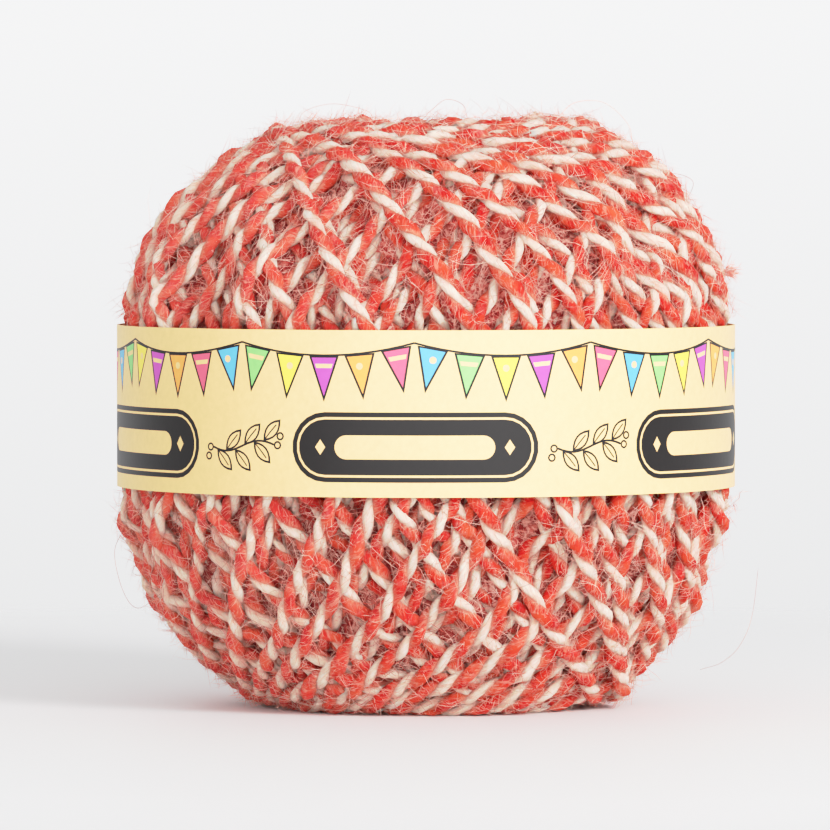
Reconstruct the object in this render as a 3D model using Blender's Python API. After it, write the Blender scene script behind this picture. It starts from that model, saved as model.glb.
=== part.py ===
"""A ball of two-ply twine, cross-wound, with a paper band round its waist.

The ball is one solid. Every turn of twine runs from low on one side to high on the other, as a
circle tilted from the ball's axis, so the turns cross in two families and leave a mouth at each
end. The solid carries that crossing as raised ridges, each for two or three neighbouring turns,
and where two cross the one wound later runs over the other.
Units are metres, +Z is up, and the origin is the middle of the foot, on the surface it stands on.
"""

import math
from collections import namedtuple

import bmesh
import bpy

# Driving dimensions
BALL_HEIGHT = 0.1010
BALL_CENTRE_Z = 0.0510
TURN_TILT = math.radians(29)  # how far a turn leans from the vertical where it crosses the waist
RIDGES = 24  # in each family; a ridge stands for two or three turns side by side
HOLLOW_DEPTH = 0.0021  # from a crossing of two ridges down to the hollow between four
OVER_DEPTH = 0.0001  # from a crossing down to the upper ridge beside it
UNDER_DEPTH = 0.0012  # from a crossing down to the lower ridge beside it
MOUTH_RIDGE_DEPTH = 0.0008
LAST_TURN = math.radians(87.2)  # azimuth at which the last turn rises through the waist
TOP_SLOPE = 0.014  # the top is a little higher on the +X side

BAND_RADIUS = 0.0533
BAND_THICKNESS = 0.0006
BAND_BOTTOM_Z = 0.0378
BAND_TOP_Z = 0.0655
BAND_SEGMENTS = 96
CLEARANCE = 0.0003
WAIST_RADIUS = BAND_RADIUS - BAND_THICKNESS - CLEARANCE - 0.00005
BAND_PRESS = 0.0010  # how far above and below its edges the band still presses the turns in

TWINE_COLOUR = (0.75, 0.32, 0.26, 1)
PAPER_COLOUR = (0.96, 0.86, 0.58, 1)

# Sections up the ball's side: height, radius over the ridges, and how far the section leans to +X
Section = namedtuple("Section", "height radius lean")
SECTIONS = (
    Section(0.0000, 0.0268, 0.0006),
    Section(0.0012, 0.0315, 0.0007),
    Section(0.0040, 0.0360, 0.0006),
    Section(0.0078, 0.0398, 0.0004),
    Section(0.0122, 0.0434, 0.0000),
    Section(0.0177, 0.0468, 0.0000),
    Section(0.0225, 0.0491, -0.0004),
    Section(0.0280, 0.0508, -0.0005),
    Section(0.0335, 0.0522, -0.0005),
    Section(0.0378, 0.0527, 0.0000),
    Section(0.0510, 0.0528, 0.0000),
    Section(0.0655, 0.0521, 0.0000),
    Section(0.0711, 0.0515, 0.0002),
    Section(0.0766, 0.0501, 0.0005),
    Section(0.0821, 0.0480, 0.0006),
    Section(0.0876, 0.0442, 0.0007),
    Section(0.0920, 0.0406, 0.0012),
    Section(0.0958, 0.0358, 0.0015),
    Section(0.0986, 0.0305, 0.0015),
    Section(0.1003, 0.0250, 0.0014),
)

# Rings from the edge of a mouth to its bottom: radius, and depth under the end of the ball
Ring = namedtuple("Ring", "radius depth")
TOP_RINGS = (Ring(0.0235, 0.0003), Ring(0.0190, 0.0000))
FOOT_RINGS = (Ring(0.0265, 0.0000), Ring(0.0175, 0.0000))
MOUTH_RINGS = (
    Ring(0.0148, 0.0014),
    Ring(0.0115, 0.0040),
    Ring(0.0086, 0.0072),
    Ring(0.0060, 0.0100),
    Ring(0.0036, 0.0118),
)
MOUTH_DEPTH = 0.0122

# The ridges cross on a lattice of points. A ridge has a point on its crest and two in the valley
# beside it, and alternate rows of the lattice are half a column apart.
POINTS_PER_RIDGE = 3
COLUMNS = POINTS_PER_RIDGE * RIDGES
STEP = math.pi / COLUMNS
LAST_ROW = int(math.radians(75) / STEP)  # past this the turns run almost along the mouth's edge


def clear_scene():
    for old in list(bpy.data.objects):
        bpy.data.objects.remove(old)


def material(name, colour, roughness):
    made = bpy.data.materials.new(name)
    made.use_nodes = True
    shader = made.node_tree.nodes["Principled BSDF"]
    shader.inputs["Base Color"].default_value = colour
    shader.inputs["Roughness"].default_value = roughness
    shader.inputs["Metallic"].default_value = 0.0
    return made


def finish_object(name, bm, finish):
    """Turns the bmesh into an object with outward faces, smooth but for creases and edges."""
    bmesh.ops.recalc_face_normals(bm, faces=bm.faces)
    mesh = bpy.data.meshes.new(name)
    bm.to_mesh(mesh)
    bm.free()
    mesh.shade_smooth()
    mesh.set_sharp_from_angle(angle=math.radians(18))
    mesh.materials.append(finish)
    made = bpy.data.objects.new(name, mesh)
    bpy.context.scene.collection.objects.link(made)
    return made


def latitude_of_row(row):
    """Latitude, seen from the ball's centre, of the turn that has run row steps round past the waist."""
    along = math.atan2(math.tan(abs(row) * STEP), math.sin(TURN_TILT))
    return math.copysign(math.asin(math.sin(along) * math.cos(TURN_TILT)), row)


def smooth_between(values, keys, key):
    """Value at key on a smooth curve through values at keys, which rise."""
    last = len(keys) - 2
    i = next((n for n in range(last) if key < keys[n + 1]), last)
    span = keys[i + 1] - keys[i]
    t = (key - keys[i]) / span

    def slope(n):
        before, after = max(n - 1, 0), min(n + 1, len(keys) - 1)
        return (values[after] - values[before]) / (keys[after] - keys[before])

    start, end = slope(i) * span, slope(i + 1) * span
    t2, t3 = t * t, t * t * t
    return (
        values[i] * (2 * t3 - 3 * t2 + 1)
        + start * (t3 - 2 * t2 + t)
        + values[i + 1] * (3 * t2 - 2 * t3)
        + end * (t3 - t2)
    )


LATITUDES = [math.atan2(s.height - BALL_CENTRE_Z, s.radius) for s in SECTIONS]
REACHES = [math.hypot(s.height - BALL_CENTRE_Z, s.radius) for s in SECTIONS]
HEIGHTS = [s.height for s in SECTIONS]
LEANS = [s.lean for s in SECTIONS]


def lean_at(height):
    height = min(max(height, HEIGHTS[0]), HEIGHTS[-1])
    i = next(n for n in range(len(HEIGHTS) - 1) if height <= HEIGHTS[n + 1])
    share = (height - HEIGHTS[i]) / (HEIGHTS[i + 1] - HEIGHTS[i])
    return LEANS[i] + (LEANS[i + 1] - LEANS[i]) * share


def lifted(x, height):
    """Height of a point of the upper half once the top's slope is added."""
    share = max(0.0, (height - BAND_TOP_Z) / (BALL_HEIGHT - BAND_TOP_Z))
    return height + TOP_SLOPE * share * x


def is_crest(index):
    return index % POINTS_PER_RIDGE == 0


def rising_lies_over(row, place):
    """True where a turn that rises to the right was laid after the falling one it crosses.

    The turns were laid one beside the other round the ball, each a little to the left of the one
    before, so the age of a turn goes with the azimuth at which it crosses the waist.
    """
    full = 2 * math.pi
    rising_age = (LAST_TURN - (place - row) * STEP) % full
    falling_age = (LAST_TURN - (place + row) * STEP + math.pi) % full
    return rising_age > falling_age


def relief(row, place):
    """Depth of a lattice point under the crossings."""
    on_rising, on_falling = is_crest((place - row) // 2), is_crest((place + row) // 2)
    if on_rising and on_falling:
        return 0.0
    if not on_rising and not on_falling:
        return HOLLOW_DEPTH
    return OVER_DEPTH if on_rising == rising_lies_over(row, place) else UNDER_DEPTH


def side_point(row, place):
    """A lattice point of the side. place counts steps round the ball, with row's own parity."""
    latitude = latitude_of_row(row)
    reach = smooth_between(REACHES, LATITUDES, latitude) - relief(row, place)
    radius = reach * math.cos(latitude)
    height = BALL_CENTRE_Z + reach * math.sin(latitude)
    if BAND_BOTTOM_Z - BAND_PRESS < height < BAND_TOP_Z + BAND_PRESS:
        radius = min(radius, WAIST_RADIUS)
    azimuth = place * STEP
    x = radius * math.cos(azimuth) + lean_at(height)
    return x, radius * math.sin(azimuth), lifted(x, max(height, 0.0))


def end_point(ring, row, place, top, ridged):
    """A point of a ring at an end of the ball. One family of turns swirls round the mouth."""
    sunk = 0.0 if is_crest((place - row) // 2) or not ridged else MOUTH_RIDGE_DEPTH
    depth = ring.depth + sunk
    height = BALL_HEIGHT - depth if top else depth
    azimuth = place * STEP
    x = ring.radius * math.cos(azimuth) + lean_at(height)
    return x, ring.radius * math.sin(azimuth), lifted(x, height)


def places(row):
    """The places of one row's points, which alternate with those of the rows above and below."""
    return [2 * column + row % 2 for column in range(COLUMNS)]


def join_rows(bm, lower, upper, lower_row):
    """Fills between two rows with triangles whose edges run along the ridges."""
    for column in range(COLUMNS):
        after = (column + 1) % COLUMNS
        if lower_row % 2 == 0:
            bm.faces.new((lower[column], lower[after], upper[column]))
            bm.faces.new((lower[after], upper[after], upper[column]))
        else:
            bm.faces.new((lower[column], lower[after], upper[after]))
            bm.faces.new((lower[column], upper[after], upper[column]))


def add_twine_ball(finish):
    bm = bmesh.new()
    rows = {}
    for row in range(-LAST_ROW, LAST_ROW + 1):
        rows[row] = [side_point(row, place) for place in places(row)]
    for top, edge_rings in ((True, TOP_RINGS), (False, FOOT_RINGS)):
        for n, ring in enumerate(edge_rings + MOUTH_RINGS):
            row = (LAST_ROW + 1 + n) * (1 if top else -1)
            ridged = ring in MOUTH_RINGS
            rows[row] = [end_point(ring, row, place, top, ridged) for place in places(row)]
    order = sorted(rows)
    made = {row: [bm.verts.new(point) for point in rows[row]] for row in order}
    for row in order[:-1]:
        join_rows(bm, made[row], made[row + 1], row)
    for row, height in ((order[0], MOUTH_DEPTH), (order[-1], BALL_HEIGHT - MOUTH_DEPTH)):
        middle = bm.verts.new((lean_at(height), 0.0, height))
        ring = made[row]
        for column in range(COLUMNS):
            bm.faces.new((ring[column], ring[(column + 1) % COLUMNS], middle))
    return finish_object("twine_ball", bm, finish)


def add_paper_band(finish):
    """The printed paper strip, closed into a ring that hugs the waist."""
    profile = (
        (BAND_RADIUS, BAND_TOP_Z),
        (BAND_RADIUS, BAND_BOTTOM_Z),
        (BAND_RADIUS - BAND_THICKNESS, BAND_BOTTOM_Z),
        (BAND_RADIUS - BAND_THICKNESS, BAND_TOP_Z),
    )
    bm = bmesh.new()
    loops = []
    for segment in range(BAND_SEGMENTS):
        turn = 2 * math.pi * segment / BAND_SEGMENTS
        loops.append(
            [bm.verts.new((r * math.cos(turn), r * math.sin(turn), z)) for r, z in profile]
        )
    for segment, here in enumerate(loops):
        there = loops[(segment + 1) % BAND_SEGMENTS]
        for corner in range(len(profile)):
            after = (corner + 1) % len(profile)
            bm.faces.new((here[corner], here[after], there[after], there[corner]))
    return finish_object("paper_band", bm, finish)


def main():
    clear_scene()
    add_twine_ball(material("twine", TWINE_COLOUR, 0.9))
    add_paper_band(material("paper", PAPER_COLOUR, 0.5))


main()
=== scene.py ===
"""Looks for the ball of twine: every turn of two-ply twine wound on in its order, loose fibres, and
the printed paper band. The object's lengths are in millimetres up to make_mesh, which turns them
into metres. The light and the camera are placed in metres."""

import math
from collections import namedtuple

import bpy
import numpy as np
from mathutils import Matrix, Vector
from mathutils.geometry import delaunay_2d_cdt
from mathutils.kdtree import KDTree
from numpy.lib.stride_tricks import sliding_window_view


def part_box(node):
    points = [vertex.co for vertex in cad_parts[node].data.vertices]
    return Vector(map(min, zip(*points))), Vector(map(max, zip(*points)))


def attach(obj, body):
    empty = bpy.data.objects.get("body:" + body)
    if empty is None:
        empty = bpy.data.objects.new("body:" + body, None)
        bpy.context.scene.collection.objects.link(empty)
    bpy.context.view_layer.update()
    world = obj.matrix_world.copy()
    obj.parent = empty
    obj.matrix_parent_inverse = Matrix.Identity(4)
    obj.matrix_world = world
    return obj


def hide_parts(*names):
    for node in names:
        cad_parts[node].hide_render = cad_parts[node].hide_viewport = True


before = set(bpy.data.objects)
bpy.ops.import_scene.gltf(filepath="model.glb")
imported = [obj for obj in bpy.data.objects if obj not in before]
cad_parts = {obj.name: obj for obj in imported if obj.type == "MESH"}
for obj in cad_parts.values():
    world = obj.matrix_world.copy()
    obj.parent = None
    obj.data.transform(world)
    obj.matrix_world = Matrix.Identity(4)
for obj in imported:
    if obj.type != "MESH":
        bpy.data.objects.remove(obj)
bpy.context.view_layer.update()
rng = np.random.default_rng(20)

MM = 0.001
CENTRE_Z = 51.0
TURN_REACH = 54.0  # typical distance of a turn from the ball's middle

low_corner, high_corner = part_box("paper_band")
PAPER_RAISED = 0.05  # how much higher the printed paper sits than the solid's plain band
BAND_RADIUS = round(high_corner.x / MM, 2)
BAND_BOTTOM = round(low_corner.z / MM + PAPER_RAISED, 2)
BAND_HEIGHT = round((high_corner.z - low_corner.z) / MM, 2)
BAND_MIDDLE = BAND_BOTTOM + BAND_HEIGHT / 2

RED_PLY_RADIUS = 1.13
CREAM_PLY_RADIUS = 0.85
PLY_OFFSET = 0.49
HALF_TWINE = RED_PLY_RADIUS + PLY_OFFSET
LAY_RADIUS = 1.3  # turns an angle round the twine into a length for the fibres' pattern
GROOVE_HEIGHT = 0.70  # of the groove between the plies, from the middle of the twine
GROOVE_SHIFT = 0.22  # of the groove towards the cream ply, which is the thinner one
RED_SPREAD = 118  # degrees of the ply to either side of its outermost line
CREAM_SPREAD = 96
SWELL = 0.08  # how much fuller a ply gets where it faces out, and leaner where it dives under
TWINE_LIFT = 1.30  # middle of a turn above what it lies on
TWINE_REACH = 1.52  # half the width a turn takes up beside others
TWIST_PITCH = 9.2  # on average: where the twine is thicker its twist is slower
LOWEST = 0.05  # no twine or fibre comes nearer to the surface that the ball stands on

# ------------ the wound form
BALL_TOP = 101.0
# Radius, and depth under the end of the ball, from the rim of a mouth to its middle
MOUTH = np.array([
    (14.8, 1.4), (11.5, 4.0), (8.6, 7.2), (6.0, 10.0), (3.6, 11.8), (0.0, 12.4),
])
# Radius and height over the turns, from the top, down the side, to the foot
SIDE = np.array([
    (19.0, 101.0), (23.2, 101.3), (26.2, 100.5), (28.8, 99.1), (32.1, 97.2), (35.6, 95.1),
    (38.7, 92.9), (41.3, 90.4), (43.5, 87.6), (45.6, 84.8), (47.4, 82.1), (49.0, 79.2),
    (50.3, 76.4), (51.2, 73.6), (51.8, 70.6), (52.2, 67.0), (52.5, 60.0), (52.6, 51.7),
    (52.6, 43.0), (52.1, 36.0), (51.0, 32.0), (49.8, 28.0), (48.7, 24.2), (47.6, 20.4),
    (46.2, 17.2), (44.4, 14.0), (41.8, 10.9), (38.9, 7.6), (35.9, 4.5), (32.8, 2.1),
    (29.8, 0.5), (27.0, 0.0), (18.0, 0.0),
])
OUTLINE = np.concatenate([MOUTH[::-1] * (1, -1) + (0, BALL_TOP), SIDE, MOUTH])
# How far a section at a height leans to +X
LEAN = np.array([
    (0, 0.3), (6, 0.2), (15, 0.0), (24, -0.4), (33, -0.6), (38, 0.0), (66, 0.0), (75, 0.4),
    (85, 0.6), (90, 1.1), (96, 1.6), (102, 1.6),
])
TOP_SLOPE = 0.014  # the top is a little higher on the +X side
SLOPE_RUN = 35  # height over which the slope sets in, from the top of the band on

outline_latitude = np.arctan2(OUTLINE[:, 1] - CENTRE_Z, OUTLINE[:, 0])
outline_reach = np.hypot(OUTLINE[:, 1] - CENTRE_Z, OUTLINE[:, 0])


def envelope(latitude):
    """Reach of the tops of the turns at a latitude."""
    return np.interp(latitude, outline_latitude[::-1], outline_reach[::-1])


def place(directions, reach):
    """Points at a reach from the middle, with the ball's lean and slope."""
    points = directions * reach[..., None]
    points[..., 2] += CENTRE_Z
    height = points[..., 2].copy()
    points[..., 0] += np.interp(height, LEAN[:, 0], LEAN[:, 1])
    share = np.clip((height - BAND_BOTTOM - BAND_HEIGHT) / SLOPE_RUN, 0, 1)
    points[..., 2] += TOP_SLOPE * share * points[..., 0]
    return points


def unit(vectors):
    return vectors / np.linalg.norm(vectors, axis=-1)[..., None]


def square_to(axes, vectors):
    """Unit vectors at right angles to the axes, nearest to the vectors."""
    return unit(vectors - (vectors * axes).sum(-1)[..., None] * axes)


def through(a, b, c, d, t):
    """A smooth curve passes a, b, c and d in turn: its value a share t on the way from b to c."""
    return b + 0.5 * t * (c - a + t * (2 * a - 5 * b + 4 * c - d + t * (3 * (b - c) + d - a)))


def wander(count, knots_apart):
    """A smooth random walk about zero with unit spread, one value a sample."""
    knots = max(4, int(count / knots_apart) + 4)
    values = rng.normal(size=knots)
    at = np.linspace(0, knots - 3.001, count)
    i = at.astype(int)
    return through(*(values[i + n] for n in range(4)), at - i)


def summed(steps):
    """The running total of some steps, from zero on."""
    return np.concatenate([[0], np.cumsum(steps)])


def soften(rows):
    """Draws each row but the first and last towards the rows beside it, in place."""
    rows[1:-1] = (rows[:-2] + 2 * rows[1:-1] + rows[2:]) / 4


# ------------ winding
# A round of turns: how far they tilt from the axis, how many, how many times they go about the
# axis, where the last one rises through the waist, the lowest latitude at which they show, and
# how unevenly they lie
Round = namedtuple("Round", "name tilt turns laps last low_latitude unrest")
ROUNDS = (
    Round("heart", 8, 14, 1, 20.0, 50, 0.5),
    Round("core", 16, 22, 1, 200.0, 46, 0.5),
    Round("under", 26, 59, 2, 130.0, -90, 2.2),
    Round("outer", 29, 59, 2, 87.2, -90, 2.0),
)
SAMPLES = 340  # along one turn

# Directions spread evenly over the ball, on which the reach of what is wound so far is kept
GRID = 60000
number = np.arange(GRID) + 0.5
grid_z = 1 - 2 * number / GRID
grid_azimuth = number * math.pi * (3 - math.sqrt(5))
grid = np.stack([np.cos(grid_azimuth), np.sin(grid_azimuth), grid_z], 1)
grid[:, :2] *= np.sqrt(1 - grid_z * grid_z)[:, None]
grid_latitude = np.arcsin(grid_z)
tree = KDTree(GRID)
for i, point in enumerate(grid):
    tree.insert(point, i)
tree.balance()


def turn_directions(made):
    """Directions from the ball's middle along the whole path of a round, turn after turn. t runs
    round a turn, and psi is the azimuth at which the turn rises through the waist."""
    count = made.turns * SAMPLES
    t = np.arange(count) * 2 * math.pi / SAMPLES
    psi = math.radians(made.last) + (t[-1] - t) * made.laps / made.turns
    slow, quick, kinks = wander(count, 95), wander(count, 24), wander(count, 11)
    psi += math.radians(made.unrest) * (0.9 * slow + 0.35 * quick + 0.15 * kinks)
    tilt = math.radians(made.tilt) + math.radians(0.9) * wander(count, 150)
    u = np.stack([np.cos(psi), np.sin(psi), 0 * psi], 1)
    w = np.stack([-np.sin(psi), np.cos(psi), 0 * psi], 1)
    up = np.array([0, 0, 1.0])
    path = np.cos(t)[:, None] * u
    path += np.sin(t)[:, None] * (np.cos(tilt)[:, None] * up + np.sin(tilt)[:, None] * w)
    return unit(path)


GRID_MOST = 26  # grid points under one sample
FAR_BELOW = -1e3
SNUG_LAYERS = 1.6  # turns on top of each other that still add their full thickness
LEAST_SHARE = 0.12  # of its thickness that a turn adds where they crowd most
LEAST_SPREAD = 0.003  # keeps the girth from nothing at a mouth's rim, where the turns swing back


def footprint(made, path):
    """For each sample, the grid points under the twine, how far its skin curves up there, and
    what share of its thickness it adds: near a mouth the turns crowd and bed down in each other."""
    angle = TWINE_REACH / TURN_REACH
    spread = np.cos(np.arcsin(path[:, 2])) ** 2 - math.sin(math.radians(made.tilt)) ** 2
    girth = math.pi * TURN_REACH * np.sqrt(np.maximum(spread, LEAST_SPREAD))
    layers = made.turns * 2 * TWINE_REACH / girth
    bed = np.clip(SNUG_LAYERS / layers, LEAST_SHARE, 1)
    side = unit(np.cross(path, np.roll(path, -1, 0) - np.roll(path, 1, 0)))
    index = np.zeros((len(path), GRID_MOST), int)
    rise = np.full(index.shape, FAR_BELOW)
    for k, point in enumerate(path):
        found = [f[1] for f in tree.find_range(point, angle * 1.06)][:GRID_MOST]
        index[k, : len(found)] = found
        across = (grid[found] @ side[k]) / angle
        rise[k, : len(found)] = np.sqrt(np.clip(1 - across * across, 0.0, 1)) * TWINE_LIFT
    return index, rise, bed


BRIDGE = 3  # samples to either side over which the twine spans a gap
STIFFNESS = 8  # rounds of softening
OVERLAP = 6  # samples of the turn before that a turn carries on from


def taut(reach, before):
    """Pulls the twine straight over the gaps between the turns it lies on, and rounds its bends."""
    ends = len(before)
    padded = np.concatenate([before, reach, np.full(ends, reach[-1])])
    span = 2 * BRIDGE + 1
    bridged = sliding_window_view(np.pad(padded, BRIDGE, mode="edge"), span).max(1)
    padded = sliding_window_view(np.pad(bridged, BRIDGE, mode="edge"), span).min(1)
    for _ in range(STIFFNESS):
        soften(padded)
    return padded[ends : ends + len(reach)]


paths = {r.name: turn_directions(r) for r in ROUNDS}
latitudes = {r.name: np.arcsin(np.clip(paths[r.name][:, 2], -1, 1)) for r in ROUNDS}
shown = {r.name: np.abs(latitudes[r.name]) > math.radians(r.low_latitude) for r in ROUNDS}
prints = {r.name: footprint(r, paths[r.name]) for r in ROUNDS}


FIRMNESS = 0.35  # how far a turn rides on the highest of what is under it, not on the mean
SINK = 0.15  # how deep a turn of full thickness presses in


def wind(base):
    """Lays every round on the base. Returns the reach of each path, and the skin over it all."""
    top = np.interp(grid_latitude, base_latitude, base)
    skin = top.copy()
    reaches = {}
    for made in ROUNDS:
        index, rise, bed = prints[made.name]
        reach = np.zeros(len(index))
        for turn in range(made.turns):
            part = slice(turn * SAMPLES, (turn + 1) * SAMPLES)
            under, bulge, share = top[index[part]], rise[part], bed[part]
            weight = np.maximum(bulge, 0)
            soft = (under * weight).sum(1) / weight.sum(1) + TWINE_LIFT * share
            hard = (under + bulge * share[:, None]).max(1)
            support = (1 - FIRMNESS) * soft + FIRMNESS * hard - SINK * share
            before = reach[part.start - OVERLAP : part.start] if turn else support[:OVERLAP]
            reach[part] = taut(support, before)
            seen = shown[made.name][part]
            laid = reach[part, None][seen] + (bulge * share[:, None])[seen]
            np.maximum.at(top, index[part][seen], laid)
            np.maximum.at(skin, index[part][seen], reach[part, None][seen] + bulge[seen])
        reaches[made.name] = reach
    return reaches, skin


# The base under the turns is set so that the tops of the turns come out on the envelope
BASE_STEP = 3  # degrees of latitude from one place where it is set to the next
FIRST_DEPTH = 9  # of the base under the envelope, to start with
MOST_DEPTH = 22
TOPS = 80  # percentile of the skin's height that counts as the tops of the turns
base_latitude = np.radians(np.arange(-90, 91, BASE_STEP))
base_count = len(base_latitude)
highest = envelope(base_latitude)
base = highest - FIRST_DEPTH
belt = (grid_latitude - base_latitude[0]) / math.radians(BASE_STEP)
belt = np.clip(np.round(belt).astype(int), 0, base_count - 1)
for _ in range(4):
    reaches, skin = wind(base)
    proud = skin - envelope(grid_latitude)
    over = np.array([np.percentile(proud[belt == b], TOPS) for b in range(base_count)])
    base = np.clip(base - 0.9 * over, highest - MOST_DEPTH, highest)
for made in ROUNDS:
    reaches[made.name] -= np.interp(latitudes[made.name], base_latitude, over)
skin -= np.interp(grid_latitude, base_latitude, over)


def over_turns(directions):
    """Reach of the tops of the turns near some directions."""
    flat = directions.reshape(-1, 3)
    around = [[skin[f[1]] for f in tree.find_n(d, 9)] for d in flat]
    highest_four = -np.sort(-np.array(around))[:, :4]
    return highest_four.mean(1).reshape(directions.shape[:-1])


PAPER_CLEARANCE = 0.75  # from the turns under the band to its outer face
FLARE = 0.25  # how fast the turns swell out beyond the band's edges
FLARE_LENGTH = 4


def off_band(height):
    """How far a height is beyond the band's edges. It is negative between them."""
    return np.abs(height - BAND_MIDDLE) - BAND_HEIGHT / 2


def pressed(directions, reach, half):
    """Holds the turns in under the paper band."""
    height = CENTRE_Z + directions[:, 2] * reach
    level = np.hypot(directions[:, 0], directions[:, 1])
    outside = np.clip(off_band(height), 0, None)
    most = (BAND_RADIUS - PAPER_CLEARANCE - half + FLARE * outside) / np.maximum(level, 0.2)
    return np.where(outside < FLARE_LENGTH, np.minimum(reach, most), reach)


# The felted fibres between the turns, as a reach in each direction
TANGLE_DEPTH = 4.5  # under the tops of the turns
TANGLE_ROWS = 90
TANGLE_COLUMNS = 150
TANGLE_END = 88  # degrees of latitude of its last rows
TANGLE_LOWEST = 0.3
TANGLE_COVER = 0.4  # how deep in the tangle the twine is still made
LEAD = 8  # samples by which the twine goes on into the tangle
tangle_latitude = np.radians(np.linspace(-TANGLE_END, TANGLE_END, TANGLE_ROWS))
tangle_azimuth = np.arange(TANGLE_COLUMNS) * 2 * math.pi / TANGLE_COLUMNS
la, az = np.meshgrid(tangle_latitude, tangle_azimuth, indexing="ij")
tangle_directions = np.stack([
    np.cos(la) * np.cos(az), np.cos(la) * np.sin(az), np.sin(la)], -1).reshape(-1, 3)
tangle_reach = pressed(tangle_directions, over_turns(tangle_directions) - TANGLE_DEPTH, 1.2)
tangle_reach = tangle_reach.reshape(TANGLE_ROWS, TANGLE_COLUMNS)
for _ in range(2):
    soften(tangle_reach)
    east, west = np.roll(tangle_reach, 1, 1), np.roll(tangle_reach, -1, 1)
    tangle_reach = (east + 2 * tangle_reach + west) / 4


def above_tangle(directions, reach):
    """True where something at a reach stands out of the tangle, or is just about to."""
    row = np.degrees(np.arcsin(np.clip(directions[:, 2], -1, 1))) + TANGLE_END
    row = np.round(row * (TANGLE_ROWS - 1) / (2 * TANGLE_END))
    row = np.clip(row.astype(int), 0, TANGLE_ROWS - 1)
    column = np.arctan2(directions[:, 1], directions[:, 0]) * TANGLE_COLUMNS / (2 * math.pi)
    column = np.round(column).astype(int) % TANGLE_COLUMNS
    out = reach > tangle_reach[row, column] - TANGLE_COVER
    return sliding_window_view(np.pad(out, LEAD), 2 * LEAD + 1).max(1)


# ------------ meshes
def make_mesh(name, points, faces, materials, face_materials=None, uv_maps=(), smooth=True):
    """faces is a list of arrays of corner indices, one array for each number of corners."""
    mesh = bpy.data.meshes.new(name)
    loops = np.concatenate([f.ravel() for f in faces]).astype(np.int32)
    sizes = np.concatenate([np.full(len(f), f.shape[1]) for f in faces])
    starts = summed(sizes[:-1]).astype(np.int32)
    mesh.vertices.add(len(points))
    mesh.vertices.foreach_set("co", (points * MM).astype(np.float32).ravel())
    mesh.loops.add(len(loops))
    mesh.loops.foreach_set("vertex_index", loops)
    mesh.polygons.add(len(sizes))
    mesh.polygons.foreach_set("loop_start", starts)
    mesh.polygons.foreach_set("use_smooth", np.full(len(sizes), smooth))
    for m in materials:
        mesh.materials.append(m)
    if face_materials is not None:
        mesh.polygons.foreach_set("material_index", face_materials.astype(np.int32))
    for uv_name, uvs in dict(uv_maps).items():
        layer = mesh.uv_layers.new(name=uv_name)
        layer.data.foreach_set("uv", uvs.astype(np.float32).ravel())
    mesh.update(calc_edges=True)
    mesh.validate()
    made = bpy.data.objects.new(name, mesh)
    bpy.context.scene.collection.objects.link(made)
    return made


def tube_quads(starts, rings, count):
    """Faces of tubes. Each has its rings of points one after another from its start on."""
    start, r, k = np.meshgrid(starts, np.arange(rings - 1), np.arange(count), indexing="ij")
    a = start + r * count + k
    b = start + r * count + (k + 1) % count
    return np.stack([a, b, b + count, a + count], -1).reshape(-1, 4)


def add_piece(made, replaced):
    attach(made, "root")
    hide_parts(replaced)


def ply_section(red_points, cream_points):
    """Round a twine: which ply each point is on (0 in the groove), and its angle on that ply."""
    red_angles = np.radians(np.linspace(-RED_SPREAD, RED_SPREAD, red_points))
    cream_angles = np.radians(np.linspace(-CREAM_SPREAD, CREAM_SPREAD, cream_points))
    side = np.concatenate([np.full(red_points, 1), [0], np.full(cream_points, -1), [0]])
    angle = np.concatenate([red_angles, [math.pi / 2], cream_angles, [-math.pi / 2]])
    return side, angle


def corner_values(values):
    """Values at the corners of each quad of a grid of points, ring after ring."""
    corners = (values[:-1, :-1], values[:-1, 1:], values[1:, 1:], values[1:, :-1])
    return np.stack(corners, 2).reshape(-1, 2)


# A stretch of twine that shows: its middle line, the directions out from the ball, the angle the
# twist has come to, the length of twine so far, and the thickness as a share of the usual one
Run = namedtuple("Run", "line outward twist along fullness")


def twine_rings(run, section):
    """Points round the two plies of a run, ring after ring."""
    side, angle = section
    full = run.fullness
    ahead = unit(np.gradient(run.line, axis=0))
    out = square_to(ahead, run.outward)
    across = np.cross(ahead, out)
    radius = {}
    for ply, size in ((1, RED_PLY_RADIUS), (-1, CREAM_PLY_RADIUS)):
        lumps = np.clip(0.07 * wander(len(full), 6), -0.15, 0.15)
        radius[ply] = size * (full + ply * SWELL * np.cos(run.twist) + lumps)
    x = np.zeros((len(full), len(side)))
    y = np.zeros(x.shape)
    for k in range(len(side)):
        if side[k]:
            x[:, k] = side[k] * (PLY_OFFSET * full + radius[side[k]] * np.cos(angle[k]))
            y[:, k] = side[k] * radius[side[k]] * np.sin(angle[k])
        else:
            x[:, k] = -GROOVE_SHIFT * full
            y[:, k] = GROOVE_HEIGHT * full * np.sin(angle[k])
    c, s = np.cos(run.twist)[:, None], np.sin(run.twist)[:, None]
    e1 = c * out + s * across
    e2 = -s * out + c * across
    points = run.line[:, None] + x[..., None] * e1[:, None] + y[..., None] * e2[:, None]
    return points + rng.normal(scale=0.05, size=points.shape)


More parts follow.
